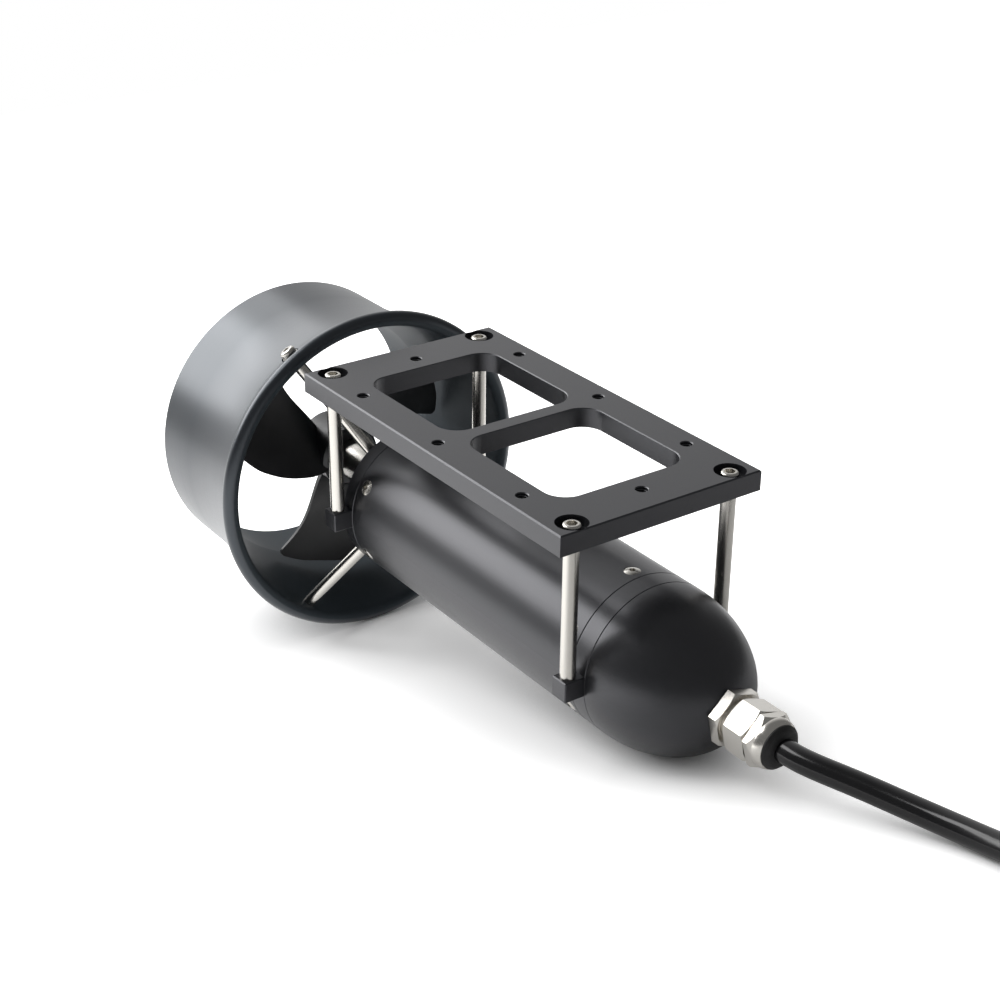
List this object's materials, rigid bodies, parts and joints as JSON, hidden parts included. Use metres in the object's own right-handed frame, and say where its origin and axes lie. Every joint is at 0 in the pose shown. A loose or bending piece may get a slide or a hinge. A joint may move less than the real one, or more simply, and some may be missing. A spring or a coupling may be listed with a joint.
{
  "type": "underwater thruster",
  "caption": "Ducted electric thruster with a domed tube body, wide-bladed propeller, windowed mounting plate on standoff rods, and a glanded cable.",
  "frame": {"origin": "centre of the mounting plate's top face", "axes": "+Z out of the plate's top, +X along the body towards the propeller and the duct's outlet"},
  "size_m": [0.6225, 0.2127, 0.1634],
  "materials": {
    "black_anodised": "satin black anodised, fine blasted",
    "duct_anodised": "satin black anodised, turned",
    "black_nylon": "moulded, slightly satin",
    "stainless": "ground and polished",
    "nickel_brass": "bright nickel plate",
    "black_rubber": "matt moulded",
    "cable_sheath": "smooth extruded, glossy",
    "core_insulation": "extruded",
    "lamination_steel": "stamped",
    "copper_winding": "enamelled",
    "magnet_plate": "nickel plate",
    "bearing_steel": "ground",
    "bush_polymer": "machined"
  },
  "bodies": {
    "thruster": {"mount_plate": "black_anodised", "plate_screws": "stainless", "standoff_rods": "stainless", "body_tube": "black_anodised", "rear_cap": "black_anodised", "nose_cap": "black_anodised", "rear_tube_screws": "stainless", "nose_tube_screws": "stainless", "rear_o_ring": "black_rubber", "nose_o_ring": "black_rubber", "motor_bracket": "black_anodised", "stator_core": "lamination_steel", "windings": "copper_winding", "bearing_outer_rings": "bearing_steel", "seal_housing": "stainless", "shaft_seals": "black_rubber", "shaft_bush": "bush_polymer", "duct": "duct_anodised", "duct_struts": "stainless", "strut_flat_washers": "stainless", "strut_spring_washers": "stainless", "strut_screws": "stainless", "gland_washer": "black_rubber", "gland_body": "nickel_brass", "gland_nut": "nickel_brass", "gland_cap": "nickel_brass", "gland_seal": "black_rubber", "cable_inlet": "cable_sheath", "cable": "cable_sheath", "cable_coil": "cable_sheath", "cable_tail": "cable_sheath", "cable_tie": "black_nylon", "cable_cores": "core_insulation"},
    "rotor": {"shaft": "stainless", "bearing_inner_rings": "bearing_steel", "rotor_core": "lamination_steel", "magnets": "magnet_plate", "propeller": "black_nylon", "drive_pin": "stainless", "prop_washer": "stainless", "prop_nut": "stainless"}
  },
  "joints": [
    {"name": "propeller_spin", "type": "hinge", "parent": "thruster", "child": "rotor", "pos_m": [0, 0, -0.0731], "axis": [1, 0, 0], "continuous": true}
  ]
}
